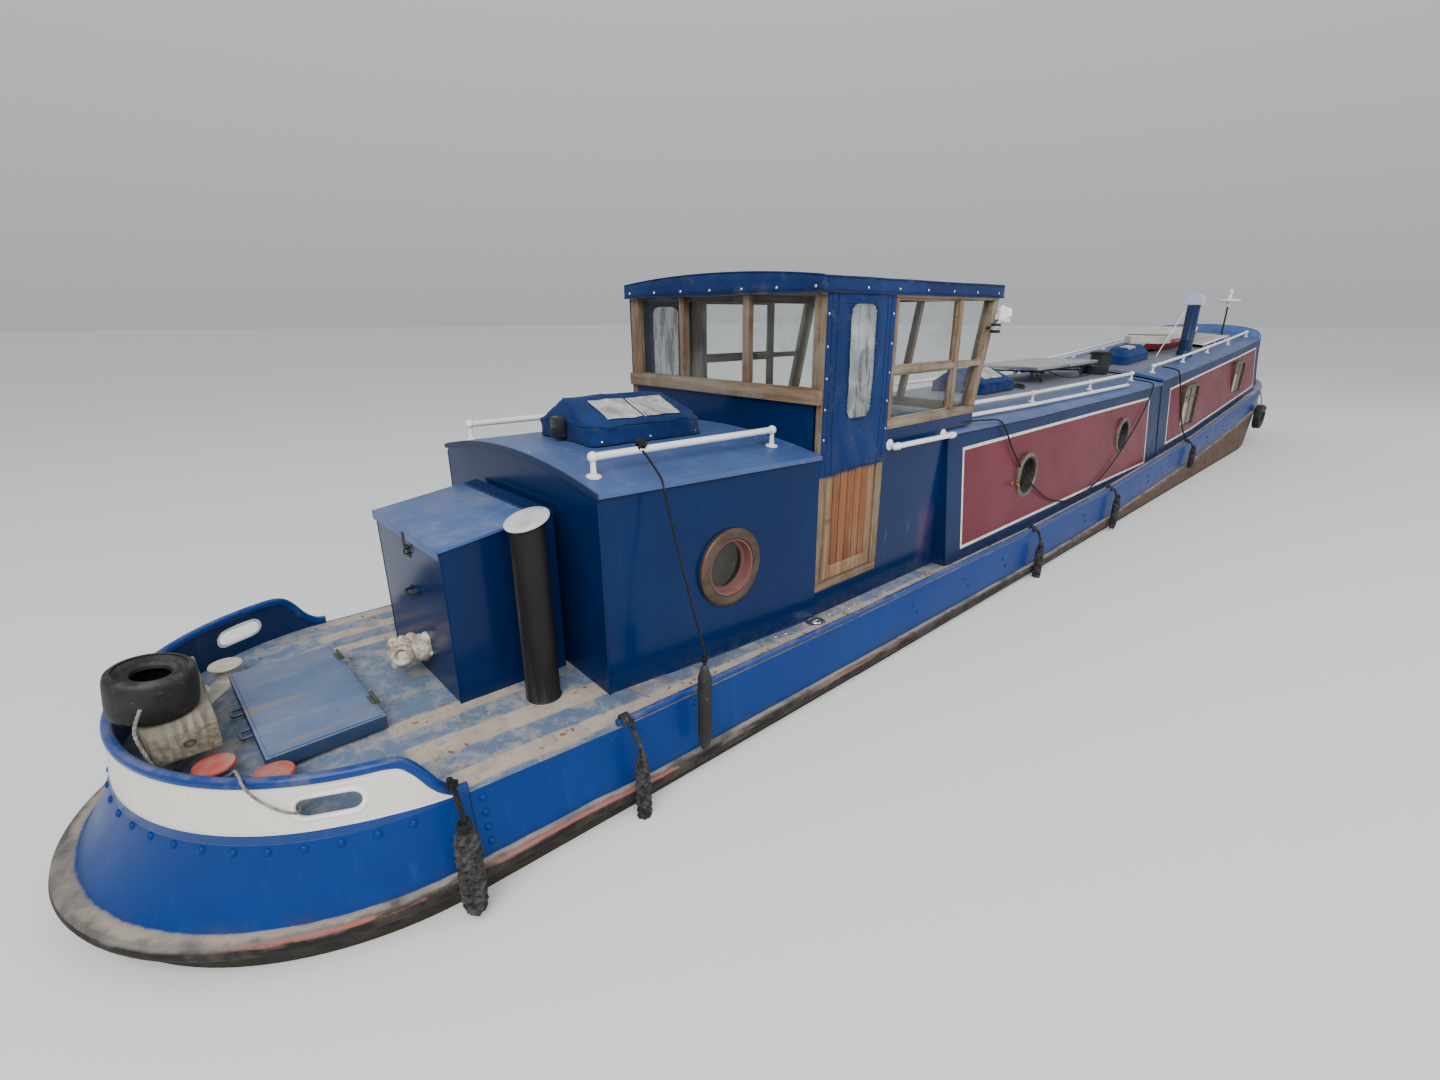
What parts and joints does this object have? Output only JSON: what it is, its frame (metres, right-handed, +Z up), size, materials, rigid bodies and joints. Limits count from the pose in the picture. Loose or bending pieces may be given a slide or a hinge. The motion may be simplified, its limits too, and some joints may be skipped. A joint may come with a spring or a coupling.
{
  "type": "narrowboat",
  "caption": "Steel canal narrowboat with counter stern, aft cabin, raised wooden wheelhouse, long panelled cabin with a stepped roof, and a canvas hood over the bow well.",
  "frame": {"origin": "on the centre line at the underside of the baseplate, 6.5 m forward of the aft cabin bulkhead, with the waterline 0.62 m above it", "axes": "+X forward to the bow, +Y to port, +Z up"},
  "size_m": [16.945, 2.3328, 3.1195],
  "materials": {
    "hull_blue": "bright mid-blue enamel, weathered",
    "cabin_navy": "dark blue enamel, semi-gloss",
    "maroon_panel": "maroon enamel panels with white coach lines",
    "roof_blue": "worn blue deck paint",
    "black_steel": "matt bitumen black",
    "cream_paint": "off-white enamel",
    "red_paint": "faded red enamel",
    "white_plastic": "white plastic",
    "window_wood": "weathered hardwood",
    "door_wood": "varnished boards",
    "deck_wood": "worn boards",
    "timber": "weathered grey timber",
    "canvas": "navy canvas",
    "hood_canvas": "faded blue canvas",
    "rubber": "worn black rubber",
    "rope": "dirty plaited rope",
    "glass": "clear, slightly dirty",
    "solar_cells": "dark cells in a pale frame",
    "bronze": "dull bronze",
    "iron": "painted cast iron",
    "dark_plastic": "dark plastic"
  },
  "bodies": {
    "hull": {"hull_baseplate": "black_steel", "hull_stern": "hull_blue", "hull_bow": "hull_blue", "hull_side_port": "hull_blue", "hull_side_starboard": "hull_blue", "stern_bulwark": "cream_paint", "toe_rail_starboard": "hull_blue", "toe_rail_port": "hull_blue", "stern_fender": "rope", "slim_fender": "rubber", "bow_tyre": "rubber", "timber_block": "timber", "stern_tyre": "rubber", "bollards_starboard": "red_paint", "bollards_port": "cream_paint", "locker": "cabin_navy", "exhaust_stack": "black_steel", "aft_cabin_side_port": "cabin_navy", "aft_cabin_side_starboard": "cabin_navy", "aft_bulkhead": "cabin_navy", "aft_cabin_roof": "roof_blue", "pigeon_box_cover": "canvas", "wheelhouse_floor": "deck_wood", "wheelhouse_aft_wall": "cabin_navy", "wheelhouse_side_port": "cabin_navy", "wheelhouse_side_starboard": "cabin_navy", "window_frame_aft": "window_wood", "window_frame_port": "window_wood", "window_frame_starboard": "window_wood", "window_frame_front": "window_wood", "glass_aft": "glass", "glass_port": "glass", "glass_starboard": "glass", "glass_front": "glass", "wheelhouse_roof": "canvas", "door_canvas_port": "canvas", "door_canvas_starboard": "canvas", "mid_bulkhead": "cabin_navy", "mid_cabin_side_port": "maroon_panel", "mid_cabin_side_starboard": "maroon_panel", "mid_cabin_roof": "roof_blue", "fore_cabin_side_port": "maroon_panel", "fore_cabin_side_starboard": "maroon_panel", "fore_bulkhead": "cabin_navy", "fore_cabin_roof": "roof_blue", "solar_panel": "solar_cells", "roof_cover_mid": "canvas", "roof_tub": "dark_plastic", "roof_tender": "red_paint", "chimney": "hull_blue", "aerial": "white_plastic", "bow_hood": "hood_canvas", "engine_block": "iron"},
    "rudder": {"rudder": "black_steel"},
    "propeller": {"propeller": "bronze"},
    "steering_wheel": {"steering_wheel": "door_wood"},
    "door_starboard": {"door_starboard": "door_wood"},
    "door_port": {"door_port": "door_wood"},
    "deck_hatch": {"deck_hatch_lid": "roof_blue"},
    "locker_lid": {"locker_lid": "roof_blue"}
  },
  "joints": [
    {"name": "propeller_spin", "type": "hinge", "parent": "hull", "child": "propeller", "pos_m": [-7.61, 0, 0.32], "axis": [1, 0, 0], "continuous": true},
    {"name": "rudder_turn", "type": "hinge", "parent": "hull", "child": "rudder", "pos_m": [-7.88, 0, 0.32], "axis": [0, 0, 1], "range_deg": [-35, 35]},
    {"name": "steering_wheel_turn", "type": "hinge", "parent": "hull", "child": "steering_wheel", "pos_m": [-4.1, -0.28, 1.82], "axis": [1, 0, 0], "range_deg": [-285, 285]},
    {"name": "door_starboard_swing", "type": "hinge", "parent": "hull", "child": "door_starboard", "pos_m": [-4.5683, -0.807, 1.55], "axis": [0, 0, -1], "range_deg": [0, 95]},
    {"name": "door_port_swing", "type": "hinge", "parent": "hull", "child": "door_port", "pos_m": [-4.5683, 0.807, 1.55], "axis": [0, 0, 1], "range_deg": [0, 95]},
    {"name": "deck_hatch_lift", "type": "hinge", "parent": "hull", "child": "deck_hatch", "pos_m": [-7.345, 0, 1.178], "axis": [0, 1, 0], "range_deg": [0, 100]},
    {"name": "locker_lid_lift", "type": "hinge", "parent": "hull", "child": "locker_lid", "pos_m": [-6.605, 0, 1.873], "axis": [0, 1, 0], "range_deg": [0, 85]}
  ],
  "couplings": [
    {"joint": "steering_wheel_turn", "follows": "rudder_turn", "ratio": 8}
  ]
}
